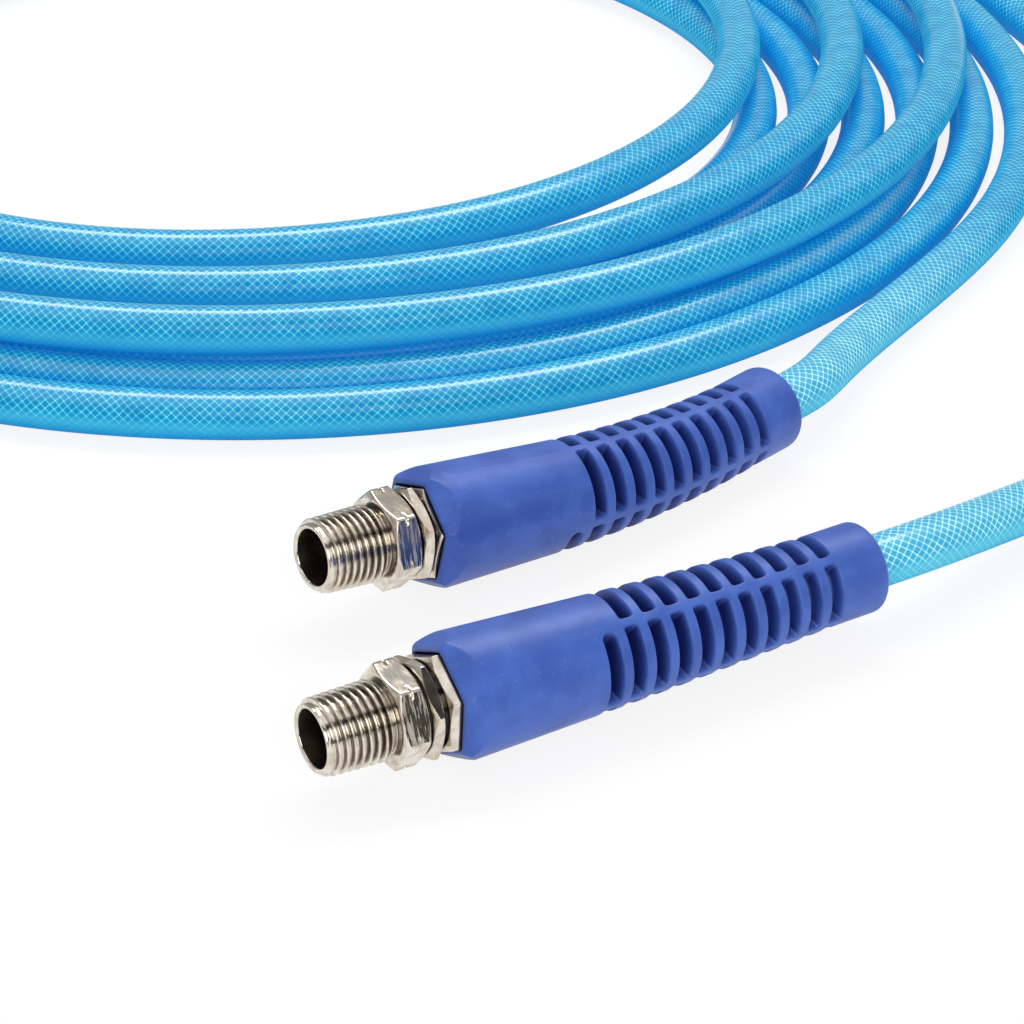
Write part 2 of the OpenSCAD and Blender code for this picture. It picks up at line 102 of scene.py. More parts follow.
# %% [markdown]
# ## The hose's line
# The hose is one length. It leaves boot A, runs round in a wide bend, goes on to the upper layer
# of loops, spirals in, drops to the lower layer, spirals out, and comes back to boot B. A rope
# simulation could lay such a coil, but it would lie a little differently each time. Here the
# loops are worked out from a radius that changes at a steady rate with the turn, the free ends
# follow a few chosen points, and one smooth curve goes through everything.

# %% The loops
HOSE_D = 9.5
HOSE_R = HOSE_D / 2
GIRTH = 2 * np.pi * HOSE_R
FLOOR_Z = -11.1
LOWER_Z = FLOOR_Z + HOSE_R
LAYER_STEP = 9.6  # from the lower layer of loops to the upper one

COIL_CENTRE = (127, 250)
COIL_START_ANGLE = -60  # where the outermost lower loop starts, in degrees
COIL_R = 163.6
LOOPS_IN, STEP_IN = 5.35, 11.8  # how many loops, and how much tighter each one is
LOOPS_OUT, STEP_OUT = 2.928, 19.5  # how many loops, and how much wider each one is
RISE_LOOPS = 0.5  # share of a loop in which the hose climbs a layer
SHIFT_LAG_LOOPS = 0.3  # share of a loop after the climb's middle, before the layer moves aside
TOP_LEFT, TOP_BACK, TOP_DRIFT = 11, 14.5, 4
POINTS_PER_LOOP = 48


def step(value, low, high):
    """0 below low, 1 above high, and a smooth step between."""
    u = np.clip((value - low) / (high - low), 0, 1)
    return u * u * (3 - 2 * u)


def loops():
    """The loops from the start on the floor to the end on the upper layer. The angle grows
    evenly. The radius shrinks by a step a loop on the way in and grows by another on the way out,
    and the height rises from layer to layer along a smooth step in the half loop round the
    turning point. Once it is up, the upper layer moves aside along the same smooth step, and each
    loop lies further right."""
    total = LOOPS_IN + LOOPS_OUT
    t = np.linspace(0, total, int(POINTS_PER_LOOP * total) + 1)
    past_turn = t - LOOPS_IN
    going_out = np.maximum(past_turn, 0)
    angle = np.radians(COIL_START_ANGLE + 360 * t)
    radius = COIL_R - STEP_IN * np.minimum(t, LOOPS_IN) + STEP_OUT * going_out
    rise = step(past_turn / RISE_LOOPS, -0.5, 0.5)
    aside = step((past_turn - SHIFT_LAG_LOOPS) / RISE_LOOPS, -0.5, 0.5)
    x = COIL_CENTRE[0] - TOP_LEFT * aside + TOP_DRIFT * going_out + radius * np.cos(angle)
    y = COIL_CENTRE[1] + TOP_BACK * aside + radius * np.sin(angle)
    return np.stack([x, y, LOWER_Z + LAYER_STEP * rise], axis=1)


coil = loops()
print("loops", round(LOOPS_IN + LOOPS_OUT, 2), "in", len(coil), "points")


# %% The free ends
MOUTH_A = (0, 0, 0)
MOUTH_B = (26.05, 48.57, 2.58)
RING_REACH = 4  # the hose end's last ring lies within this of the point farthest from the mouth

TAIL_A = [
    (141, 7.5, -2.5),
    (166, 14.5, -5),
    (190, 25, -6.3),
    (215, 42, -6.3),
    (240, 70, -6.3),
    (260, 105, -6.3),
    (277, 140, -6.3),
    (289, 175, -6.3),
    (297, 210, -6.3),
    (302, 250, -6.3),
    (304, 300, -5.5),
    (304, 350, -2.5),
    (304, 405, 1),
    (292.5, 432.5, 2.3),
    (265.5, 444, 2.8),
    (238.5, 432.5, 2.8),
    (227, 405, 2.8),
]
TAIL_B = [(152.5, 75, -4), (171, 87.5, -6)]


def hose_exit(node, mouth):
    """Where the hose leaves the boot: the middle of the hose end's last ring of points, which are
    the ones farthest from the mouth, and the direction square to that ring."""
    places = np.array([v.co for v in nodes[node].data.vertices]) / MM
    places = np.unique(np.round(places, 4), axis=0)
    away = np.linalg.norm(places - np.array(mouth), axis=1)
    last_ring = places[away > away.max() - RING_REACH]
    middle = last_ring.mean(axis=0)
    square = np.linalg.svd(last_ring - middle)[2][2]
    return middle, square * np.sign(square @ (middle - np.array(mouth)))


exit_a, dir_a = hose_exit("hose_end_a", MOUTH_A)
exit_b, dir_b = hose_exit("hose_end_b", MOUTH_B)
print("exit A", exit_a.round(2), "exit B", exit_b.round(2))


# %% A smooth curve through points
RING_STEP = 2.45  # from one circle of the tube to the next
FINE_STEPS = 24  # readings between two points, before the even steps are taken


def smooth_curve(points, first_dir, last_dir):
    """A cubic spline through the points, with the chord lengths between them as its parameter.
    The slope at both ends is given, and the slopes between follow from one set of linear
    equations. The curve is then read off at even steps of its own length."""
    chord = np.linalg.norm(np.diff(points, axis=0), axis=1)
    n = len(points)
    system = np.zeros((n, n))
    right = np.zeros((n, 3))
    system[0, 0] = system[-1, -1] = 1
    right[0], right[-1] = first_dir, last_dir
    rows = np.arange(1, n - 1)
    before, after = chord[:-1], chord[1:]
    system[rows, rows - 1] = after
    system[rows, rows] = 2 * (before + after)
    system[rows, rows + 1] = before
    rate = np.diff(points, axis=0) / chord[:, None]
    right[1:-1] = 3 * (after[:, None] * rate[:-1] + before[:, None] * rate[1:])
    slope = np.linalg.solve(system, right)
    u = np.linspace(0, 1, FINE_STEPS, endpoint=False)[None, :, None]
    p, q = points[:-1, None, :], points[1:, None, :]
    h = chord[:, None, None]
    fine = (
        (1 + 2 * u) * (1 - u) ** 2 * p
        + u**2 * (3 - 2 * u) * q
        + h * u * (1 - u) ** 2 * slope[:-1, None, :]
        - h * u**2 * (1 - u) * slope[1:, None, :]
    ).reshape(-1, 3)
    fine = np.vstack([fine, points[-1]])
    run = np.concatenate([[0], np.cumsum(np.linalg.norm(np.diff(fine, axis=0), axis=1))])
    even = np.linspace(0, run[-1], int(run[-1] / RING_STEP) + 1)
    return np.stack([np.interp(even, run, fine[:, k]) for k in range(3)], axis=1), run[-1]


straight_a, straight_b = exit_a + dir_a * HOSE_D, exit_b + dir_b * HOSE_D
route = np.vstack([exit_a, straight_a, TAIL_A, coil[::-1], TAIL_B[::-1], straight_b, exit_b])
hose_path, hose_length = smooth_curve(route, dir_a, -dir_b)
print("free hose", round(hose_length / 1000, 3), "m in", len(hose_path), "rings")


# %% [markdown]
# ## A tube along a line
# A tube is a circle carried along its line. A Blender curve with a bevel gives one too, but it
# may twist, and the braid would twist with it. Here side and up of each circle come from the
# line's own direction and the world's up, so the pattern runs true. The tube keeps a map of its
# own: along it the length in girths of the hose, round it the share of the circle.

# %% A mesh from a grid of points
def new_object(name, mesh):
    """An object at the origin with that mesh, in the scene."""
    item = bpy.data.objects.new(name, mesh)
    bpy.context.scene.collection.objects.link(item)
    return item


def grid_mesh(name, grid, closed_along=False, uv=None):
    """A mesh from a grid of points, rows along and columns round. Each cell of four neighbours is
    a face, and the last column is joined to the first. Where the grid is closed along too, so is
    the last row, and the faces are turned outward by the sign of the volume they enclose."""
    rows, cols = grid.shape[:2]
    last = rows if closed_along else rows - 1
    r, c = np.arange(last)[:, None], np.arange(cols)[None, :]
    below, beside = (r + 1) % rows, (c + 1) % cols
    corners = [r * cols + c, below * cols + c, below * cols + beside, r * cols + beside]
    quads = np.stack(corners, axis=-1).reshape(-1, 4)
    if closed_along:
        p = grid.reshape(-1, 3)[quads]
        area = np.cross(p[:, 1], p[:, 2]) + np.cross(p[:, 2], p[:, 3])
        volume = np.einsum("ij,ij->i", p[:, 0], area).sum()
        quads = quads if volume > 0 else quads[:, ::-1]
    mesh = bpy.data.meshes.new(name)
    mesh.vertices.add(rows * cols)
    mesh.vertices.foreach_set("co", grid.reshape(-1).astype(np.float32))
    mesh.loops.add(quads.size)
    mesh.loops.foreach_set("vertex_index", quads.reshape(-1).astype(np.int32))
    mesh.polygons.add(len(quads))
    mesh.polygons.foreach_set("loop_start", np.arange(0, quads.size, 4, dtype=np.int32))
    mesh.polygons.foreach_set("use_smooth", np.ones(len(quads), bool))
    if uv is not None:
        layer = mesh.uv_layers.new(name="along_round")
        along = np.broadcast_to(uv[:-1, None], (rows - 1, cols))
        ahead = np.broadcast_to(uv[1:, None], (rows - 1, cols))
        low = np.broadcast_to(c / cols, along.shape)
        high = low + 1 / cols
        pairs = [(along, low), (ahead, low), (ahead, high), (along, high)]
        flat = np.stack([np.stack(pair, axis=-1) for pair in pairs], axis=-2)
        layer.data.foreach_set("uv", flat.reshape(-1).astype(np.float32))
    mesh.update()
    mesh.validate()
    return mesh


# %% The hose's tube
HOSE_SIDES = 32


def tube(name, path, radius, sides):
    """Point = line + radius * (cos(angle) * side + sin(angle) * up), where side is square to the
    line and level, and up is square to both."""
    direction = np.gradient(path, axis=0)
    direction /= np.linalg.norm(direction, axis=1)[:, None]
    side = np.cross(direction, [0, 0, 1])
    side /= np.linalg.norm(side, axis=1)[:, None]
    up = np.cross(side, direction)
    angle = (np.arange(sides) / sides * 2 * np.pi)[None, :, None]
    across = np.cos(angle) * side[:, None, :] + np.sin(angle) * up[:, None, :]
    grid = path[:, None, :] + radius * across
    run = np.concatenate([[0], np.cumsum(np.linalg.norm(np.diff(path, axis=0), axis=1))])
    mesh = grid_mesh(name, grid * MM, uv=run / (2 * np.pi * radius))
    return new_object(name, mesh)


hose = tube("braided_hose", hose_path, HOSE_R, HOSE_SIDES)
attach(hose, "root")
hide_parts("hose_coil", "hose_tail_a", "hose_tail_b")
print("hose triangles", 2 * len(hose.data.polygons))


# %% [markdown]
# ## The fittings
# The solids carry the swivel's thread as a plain cone and the boot with sharp slots. Here both
# are one surface each, worked out from a distance along the fitting and an angle round it. Angles
# are counted from the top towards the front. What differs between the two ends is kept in one
# table: where the mouth is, which way the fitting points, how far and in which plane its boot
# bends, how hexagon and boot are turned about their line, and how far the boot's rim stands back
# from the mouth.

# %% How the two fittings lie
FITTINGS = {
    "a": {
        "mouth": MOUTH_A,
        "heading": 0,
        "slope": 0,
        "bend": 2.9,
        "plane": 0,
        "hexagon": 38,
        "boot": -55.5,
        "rim": 23.2,
    },
    "b": {
        "mouth": MOUTH_B,
        "heading": 4.17,
        "slope": 4,
        "bend": 13.6,
        "plane": 17.7,
        "hexagon": 42.5,
        "boot": 11.5,
        "rim": 21.4,
    },
}


def turned(points, axis, degrees):
    """Points turned about the x, y or z axis of the frame."""
    c, s = np.cos(np.radians(degrees)), np.sin(np.radians(degrees))
    i, j = [(1, 2), (2, 0), (0, 1)][axis]
    out = points.copy()
    out[..., i] = points[..., i] * c - points[..., j] * s
    out[..., j] = points[..., i] * s + points[..., j] * c
    return out


def laid(points, end):
    """Points of a fitting's own frame, x along it from the mouth, as they lie on the floor."""
    return turned(turned(points, 1, end["slope"]), 2, end["heading"]) + np.array(end["mouth"])


def ring(x, radius, angle):
    """Points at distance x along, with a radius for each angle."""
    x = np.broadcast_to(x, radius.shape)
    y, z = -radius * np.sin(np.radians(angle)), radius * np.cos(np.radians(angle))
    return np.stack([x, y, z], axis=-1)


def turned_rows(profile, angle):
    """Rows of a plain turned shape, one for each distance along and radius of its profile."""
    profile = np.array(profile, float)
    return ring(profile[:, :1], profile[:, 1:] + 0 * angle, angle)


def smaller(a, b, softness):
    """The smaller of two values, with a rounded corner where they meet."""
    return -softness * np.logaddexp(-a / softness, -b / softness)


def hexagon(angle, apothem, sharpness):
    """Radius of a hexagon with rounded corners, a corner at angle 0: the high power mean of the
    six flats' closeness, in which the nearest flat wins."""
    flats = np.arange(6) * 60 + 30
    near = np.clip(np.cos(np.radians(angle[..., None] - flats)), 1e-6, None)
    return apothem / np.power(np.power(near, sharpness).sum(axis=-1), 1 / sharpness)


# %% [markdown]
# ## The threaded swivel
# The real one is turned and milled from hexagon bar: a tapered pipe thread, a short neck, and a
# hexagon for the spanner, whose corners a cone takes off. A boolean with a helix could cut the
# thread. A formula is simpler: how deep the groove is depends on how far along and how far round
# a point lies, and the helix comes out by itself. Outside, recess and bore are one closed loop of
# rows, so that no seam can open.

# %% Thread and neck
SWIVEL_SIDES = 192
THREAD_PITCH = 25.4 / 18
THREAD_DEPTH = 0.8 * THREAD_PITCH
THREAD_LEN = 11.2
ROWS_A_TURN = 24
ROWS_TO, NECK_ROWS = 12, [12.2, 12.4]
CREST_R, CREST_TAPER = 6.625, 1 / 32
GROOVE_FROM, GROOVE_TO = 0.12, 0.86  # the flank, as shares of half a pitch
FADE_FROM, FADE_TO = 0.6, 1.5  # the groove fades out this far before the last rows
LEAD_R = 5.66  # a cone of 45 degrees leads in from this radius
NECK_R, NECK_STEP = 5.875, 1.1
SHOULDER_AT, SHOULDER_LEN = 0.5, 0.55  # behind the thread's length, the crest drops to the neck


def threaded_rows(angle):
    """Radius = crest - depth * groove, where the crest grows by 1 in 32 and the groove is a
    rounded saw of (x / pitch - angle / full turn), so the thread is right-handed. It runs out
    into the neck."""
    x = np.concatenate([np.arange(0, ROWS_TO, THREAD_PITCH / ROWS_A_TURN), NECK_ROWS])[:, None]
    phase = np.abs(2 * ((x / THREAD_PITCH - angle / 360) % 1) - 1)
    groove = step(1 - phase, GROOVE_FROM, GROOVE_TO) * step(NECK_ROWS[0] - x, FADE_FROM, FADE_TO)
    radius = CREST_R + x * CREST_TAPER - THREAD_DEPTH * groove
    radius = smaller(radius, LEAD_R + x, 0.04)
    neck = NECK_R + NECK_STEP * step(THREAD_LEN + SHOULDER_AT - x, 0, SHOULDER_LEN)
    return ring(x, np.maximum(smaller(radius, neck, 0.05), NECK_R - 0.05), angle)


print("thread", round(THREAD_LEN / THREAD_PITCH, 1), "turns")


# %% Hexagon
HEX_FROM, HEX_LEN = 12.6, 5
HEX_APOTHEM, HEX_SHARPNESS = 7.95, 220.0
CONE_R, CONE_SLOPE = 7.7, 2.15
NICK_HALF, NICK_DEPTH = 0.32, 0.5  # along the fitting, and inward
NICK_FROM, NICK_FULL = 9, 3  # degrees from a corner
END_ROWS = np.array([0, 0.05, 0.1, 0.2, 0.32, 0.45, 0.6, 0.75, 0.9, 1.2, 1.6])
NICK_ROWS = np.linspace(1.9, 3.1, 13)


def hexagon_rows(angle, turn):
    """Radius = the smaller of a hexagon and a cone that widens from both ends, less a small nick
    in the middle of each corner."""
    x = np.concatenate([END_ROWS, NICK_ROWS, HEX_LEN - END_ROWS[::-1]])[:, None]
    from_corner = angle - turn
    flats = hexagon(from_corner, HEX_APOTHEM, HEX_SHARPNESS)[None, :] + 0 * x
    radius = smaller(flats, CONE_R + np.minimum(x, HEX_LEN - x) * CONE_SLOPE, 0.05)
    corner = np.abs((from_corner + 30) % 60 - 30)
    nick = np.clip(1 - np.abs(x - HEX_LEN / 2) / NICK_HALF, 0, 1)
    nick = nick * step(NICK_FROM - corner, 0, NICK_FROM - NICK_FULL)
    return ring(x + HEX_FROM, radius - NICK_DEPTH * nick, angle)


print("hexagon", 2 * HEX_APOTHEM, "mm across flats")


# %% The whole swivel
NECK_FACE = [(12.55, NECK_R), (12.6, 6.2)]
HEX_FACE = [(12.6, 7.2)]
RECESS = [(17.6, 6.65), (17.5, 6.55), (17.15, 6.55)]
BORE = [(17.15, 4.1), (9.6, 4.1), (9.6, 4.75), (8.3, 4.75), (8.3, 5), (4, 5)]
MOUTH_EDGE = [(0.25, 5), (0.08, 5.1), (0, 5.25), (0, 5.45)]
PLATED, MILLED, SHADED_BORE = 0, 1, 2  # numbers of the swivel's three finishes


def swivel_grid(end):
    """All rows of the swivel, from the mouth along the outside, over the face of the hexagon, and
    back through the washer's recess and the bore, and the number of each row's finish."""
    angle = np.arange(SWIVEL_SIDES) / SWIVEL_SIDES * 360
    sections = [
        (PLATED, threaded_rows(angle)),
        (PLATED, turned_rows(NECK_FACE, angle)),
        (MILLED, turned_rows(HEX_FACE, angle)),
        (MILLED, hexagon_rows(angle, end["hexagon"])),
        (MILLED, turned_rows(RECESS, angle)),
        (SHADED_BORE, turned_rows(BORE, angle)),
        (PLATED, turned_rows(MOUTH_EDGE, angle)),
    ]
    numbers, rows = zip(*sections)
    return laid(np.concatenate(rows), end), np.repeat(numbers, [len(part) for part in rows])


print("swivel rows", len(swivel_grid(FITTINGS["a"])[1]))


# %% [markdown]
# ## The slotted boot
# The boot is one soft moulding pushed over hose and nut. Eleven slots let it bend, and four rails
# run through them and hold the ribs. At the nose, six sloping flats run into the round body, and
# a hexagon socket grips the nut. Cutting slots with booleans leaves hard edges. Here the slots
# are a depth between 0 and 1, made of smooth steps, which leaves the soft edges that a mould
# gives. The boot is worked out straight and then carried round its bend.

# %% The boot's slots
SLOTS = 11
SLOT_PITCH = 4.54
SLOT_W = 2.85
SLOTS_LEN = (SLOTS - 1) * SLOT_PITCH + SLOT_W
RAIL_HALF = 0.95
SLOT_WALL, WALL_CURVE = (-0.15, 1.15), 1.2  # a slot's wall lies between these, past its edge
RAIL_WALL = (-0.3, 0.5)  # a rail's wall lies between these, past its edge


def slot_depth(s, angle, radius):
    """How deep the surface lies, from 0 on the ribs and rails to 1 on the core. It is the product
    of a smooth step across the slot's edges and one across the rails' edges. The first slot is
    open on the lower side only, and ends in a half circle beside each side rail."""
    k = np.clip(np.floor((s + (SLOT_PITCH - SLOT_W) / 2) / SLOT_PITCH), 0, SLOTS - 1)
    local = s - k * SLOT_PITCH
    inside = np.minimum(local, SLOT_W - local)
    rail = np.abs((angle + 45) % 90 - 45)
    beside = radius * np.radians(rail) - RAIL_HALF
    full = step(inside, *SLOT_WALL) ** WALL_CURVE * step(beside, *RAIL_WALL)
    height = radius * np.cos(np.radians(angle))
    aside = np.abs(radius * np.sin(np.radians(angle))) - RAIL_HALF
    above = np.maximum(height + RAIL_HALF + SLOT_W / 2, 0)
    first = SLOT_W / 2 - np.hypot(local - SLOT_W / 2, above)
    lower = step(first, *SLOT_WALL) ** WALL_CURVE * step(aside, *RAIL_WALL)
    return np.where(k == 0, lower, full)


print("slots", SLOTS, "over", round(SLOTS_LEN, 2), "mm")


# %% The boot's outside
FRONT_LEN = 27.1
COLLAR_LEN = 10
NOSE_R, COLLAR_R, CORE_R, BORE_R = 11.1, 8.15, 5.9, 4.85
NOSE_APOTHEM, FLAT_SLOPE = 8.95, 30  # the flats start here at the rim, and rise by these degrees
BOOT_SHARPNESS = 300.0
SEAM_H, SEAM_W, SEAM_FROM = 0.05, 0.14, 4
FRONT_ROWS = [[0.3, 0.5, 0.75], np.arange(1, 4.6, 0.3), np.arange(6, 26, 2.5), [26.3]]
EDGE_ROWS = np.array([-0.3, -0.15, -0.03, 0.09, 0.22, 0.35, 0.5, 0.65, 0.8, 0.96, 1.15])
COLLAR_ROWS = np.array([1.2, 3, 6, 8.7])


def boot_columns():
    """Angles of a quarter turn, close together at the rails' edges, repeated four times."""
    edge_side = [0, 0.5, 1, 1.8, 3, 4, 4.7, 5.3, 5.9, 6.5, 7.1, 7.8, 8.6, 10, 12]
    far_side = 90 - np.array(edge_side[1:])[::-1]
    quarter = np.concatenate([edge_side, np.arange(14.5, 76, 2.5), far_side])
    return (quarter[None, :] + np.arange(4)[:, None] * 90).reshape(-1)


def boot_outside(angle):
    """Distance from the first slot and radius, from the rim to the collar. Radius = the smaller
    of a slim cone and the six sloping flats, less the slots' depth, plus a thin seam at both
    sides."""
    rib_middle = SLOT_W + (SLOT_PITCH - SLOT_W) / 2
    slot = np.concatenate([EDGE_ROWS, [SLOT_W / 2], SLOT_W - EDGE_ROWS[::-1], [rib_middle]])
    slots = (slot[None, :] + np.arange(SLOTS)[:, None] * SLOT_PITCH).reshape(-1)
    front = np.concatenate(FRONT_ROWS) - FRONT_LEN
    s = np.concatenate([front, slots[:-1], SLOTS_LEN + COLLAR_ROWS])
    behind = (s + FRONT_LEN)[:, None]
    cone_len = FRONT_LEN + SLOTS_LEN
    cone = NOSE_R - (NOSE_R - COLLAR_R) / cone_len * np.minimum(behind, cone_len)
    rising = NOSE_APOTHEM + np.tan(np.radians(FLAT_SLOPE)) * behind
    flats = hexagon(angle, 1.0, BOOT_SHARPNESS)[None, :] * rising
    radius = smaller(cone + 0 * angle, flats, 0.08)
    from_seam = radius * np.radians((angle + 90) % 180 - 90)
    seam = SEAM_H * np.exp(-((from_seam / SEAM_W) ** 2)) * (behind > SEAM_FROM)
    return s, radius - (radius - CORE_R) * slot_depth(s[:, None], angle[None, :], radius) + seam


print("boot columns", len(boot_columns()))


# %% The boot's inside
LIP_R = 1.2
LIP_ANGLES = np.radians([15, 30, 50, 70, 90])
BORE_CHAMFER = [(0, 0.3), (-0.25, 0)]  # distance from the collar's end, and added radius
BORE_FROM, BORE_TO, BORE_ROWS = 2, -4.6, 16
SLEEVE_ROOM = [(-7.3, 5.25), (-8, 7.7), (-17, 7.7)]  # distance from the first slot, and radius
SOCKET_APOTHEM = 8.05
SOCKET_ROWS = [(-17, 0), (-26.8, 0), (-26.95, 0.1), (-FRONT_LEN, 0.3)]  # and added radius
RIM_ROWS = [(-FRONT_LEN, -0.3), (0.1 - FRONT_LEN, -0.1)]


def boot_inside(angle):
    """Distance and radius from the collar's rounded lip, through the bore for the hose and the
    room for the clamp sleeve, to the hexagon socket and the rim."""
    far = SLOTS_LEN + COLLAR_LEN
    lip_s = far - LIP_R + LIP_R * np.sin(LIP_ANGLES)
    lip_r = COLLAR_R - LIP_R + LIP_R * np.cos(LIP_ANGLES)
    bore_s = np.linspace(far - BORE_FROM, BORE_TO, BORE_ROWS)
    chamfer = np.array(BORE_CHAMFER) + [far, BORE_R]
    bore = np.stack([bore_s, np.full(BORE_ROWS, BORE_R)], axis=1)
    profile = np.vstack([np.stack([lip_s, lip_r], axis=1), chamfer, bore, SLEEVE_ROOM])
    socket_s, socket_more = np.array(SOCKET_ROWS).T
    rim_s, rim_more = np.array(RIM_ROWS).T
    socket = hexagon(angle, SOCKET_APOTHEM, BOOT_SHARPNESS) + socket_more[:, None]
    rim = hexagon(angle, NOSE_APOTHEM, BOOT_SHARPNESS) + rim_more[:, None]
    s = np.concatenate([profile[:, 0], socket_s, rim_s])
    return s, np.vstack([profile[:, 1:] + 0 * angle, socket, rim])


print("boot", round(FRONT_LEN + SLOTS_LEN + COLLAR_LEN, 2), "mm long")


# %% The whole boot
def bent(s, points, end):
    """Points square to the fitting, carried along its line: straight up to the slots, then round
    the bend, then straight again."""
    reach = np.radians(end["bend"])
    bend_r = SLOTS_LEN / reach
    a = reach * np.clip(s, 0, SLOTS_LEN) / SLOTS_LEN
    past = np.clip(s - SLOTS_LEN, 0, None)
    on = np.clip(s, None, 0) + past * np.cos(a) + bend_r * np.sin(a)
    off = past * np.sin(a) + bend_r * (1 - np.cos(a))
    level = turned(points, 0, -end["plane"])
    c, w = np.cos(a)[:, None], np.sin(a)[:, None]
    out = np.stack([-level[..., 1] * w, level[..., 1] * c, level[..., 2]], axis=-1)
    out = out + np.stack([on + end["rim"] + FRONT_LEN, off, 0 * off], axis=-1)[:, None, :]
    return turned(out, 0, end["plane"])


def boot_grid(end):
    """All rows of the boot, from the rim along the outside and back through the inside."""
    angle = boot_columns()
    sections = [boot_outside(angle), boot_inside(angle)]
    s, radius = (np.concatenate(part) for part in zip(*sections))
    points = ring(np.zeros((len(s), 1)), radius, angle[None, :] + end["boot"])
    return laid(bent(s, points, end), end)


print("boot rows", boot_grid(FITTINGS["a"]).shape[0])


# %% Both fittings take their place
for letter, end in FITTINGS.items():
    points, end["row_finish"] = swivel_grid(end)
    mesh = grid_mesh("swivel_" + letter, points * MM, closed_along=True)
    end["swivel"] = new_object(f"swivel_{letter}_threaded", mesh)
    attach(end["swivel"], f"swivel_{letter}")
    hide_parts(f"swivel_body_{letter}")
    print("swivel", letter, 2 * len(mesh.polygons), "triangles")

    mesh = grid_mesh("boot_" + letter, boot_grid(end) * MM, closed_along=True)
    end["moulding"] = new_object(f"boot_{letter}_moulded", mesh)
    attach(end["moulding"], "root")
    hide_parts(f"bend_restrictor_{letter}")
    print("boot", letter, 2 * len(mesh.polygons), "triangles")


# %% [markdown]
# ## Finishes
# A finish in Blender is a small tree of nodes. One function turns a written colour into the
# linear light that Blender works with, and one adds a node with its settings and links. Every
# finish here is built from those two, so that each line says only what is mixed with what.

# %% Helpers for finishes
def linear(code):
    """An sRGB hex colour as linear light, with an alpha of 1."""
    value = np.array([int(code[i : i + 2], 16) / 255 for i in (1, 3, 5)])
    flat = np.where(value <= 0.04045, value / 12.92, ((value + 0.055) / 1.055) ** 2.4)
    return (*flat, 1.0)


def link(tree, node, inputs):
    """Each input, by its name or number, takes another node's output, a hex colour or plain
    numbers. A plain row of values goes to the first inputs in their order."""
    for key, value in inputs.items() if isinstance(inputs, dict) else enumerate(inputs):
        if isinstance(value, bpy.types.NodeSocket):
            tree.links.new(value, node.inputs[key])
        else:
            node.inputs[key].default_value = linear(value) if isinstance(value, str) else value


def add(tree, kind, inputs=(), settings=None, out=0):
    """Adds a node of that kind with its settings and links, and gives back one of its outputs."""
    node = tree.nodes.new("ShaderNode" + kind)
    for key, value in (settings or {}).items():
        setattr(node, key, value)
    link(tree, node, inputs)
    return node.outputs[out]


def finish(name):
    """A new material with a Principled shader on its output, its tree and that shader."""
    material = bpy.data.materials.new(name)
    material.use_nodes = True
    tree = material.node_tree
    tree.nodes.clear()
    shader = add(tree, "BsdfPrincipled")
    tree.links.new(shader, tree.nodes.new("ShaderNodeOutputMaterial").inputs[0])
    return material, tree, shader.node


def dress(item, *materials):
    """Takes off what the object wears, and puts these finishes on in their order."""
    item.data.materials.clear()
    for material in materials:
        item.data.materials.append(material)


# %% Settings that come back in every finish
PLUS, MINUS, TIMES = ({"operation": kind} for kind in ("ADD", "SUBTRACT", "MULTIPLY"))
LARGER, PINGPONG = {"operation": "MAXIMUM"}, {"operation": "PINGPONG"}
SMOOTH = {"interpolation_type": "SMOOTHSTEP"}
FEW = {"samples": 4}

# A Mix node of colours: its share is input 0, its colours are inputs 6 and 7, the mix is output 2.
COLOURS = {"data_type": "RGBA"}
SHARE, FIRST, SECOND, MIXED = 0, 6, 7, 2


# %% [markdown]
# ## Clear polyurethane over a yarn braid
# The real hose is extruded: a blue inner tube, pale yarn braided round it in both senses, and a
# clear glossy skin over both. To the eye that gives a net of pale lines over deep blue cells,
# brightest where two yarns cross, under a sharp wet shine. Modelled yarn would take millions of
# faces, and an image would blur close up. The net is drawn instead on the tube's own map, where a
# yarn is a slanting line.

# %% Sizes and colours of the hose's finish
YARNS_ROUND = 18  # yarns of one sense round the hose, each about 1.7 mm from the next
BRAID_STEP = 1.75  # from yarn to yarn along the hose
YARN_CORE, YARN_EDGE = 0.0525, 0.3325  # from its middle, a yarn fades between these
WANDER_SIZE, WANDER = 3.85, 0.5  # patches in which yarns wander by up to this share of a step
PALE_A, PALE_B = (1, 5), (4, 1)  # the free ends' painted floor light fades between these, in girths from each end
LOOP_SHADE_REACH = 12  # a little more than one hose
BUMP = 0.1

# The pale colours are painted light: the free ends lie alone on the pale floor and are painted
# paler for its light through the clear wall.
CELL_DARK, CELL_LIGHT, CELL_PALE = "#007EBC", "#049CD0", "#54C6DE"
YARN, YARN_PALE = "#58C8DE", "#A4E8F0"
CROSSING, CROSSING_PALE = "#A4E4F0", "#F0FFFF"
# The middle skin colour is painted light: the underside's paler skin stands for the pale floor's
# light.
SKIN_SIDE, SKIN_FLOOR_LIT, SKIN_PALE = "#0C9ECC", "#44B6D6", "#6CCFE2"
# A deeper blue, painted shade for where turns lie close.
PAINTED_LOOP_SHADE = "#0090D4"


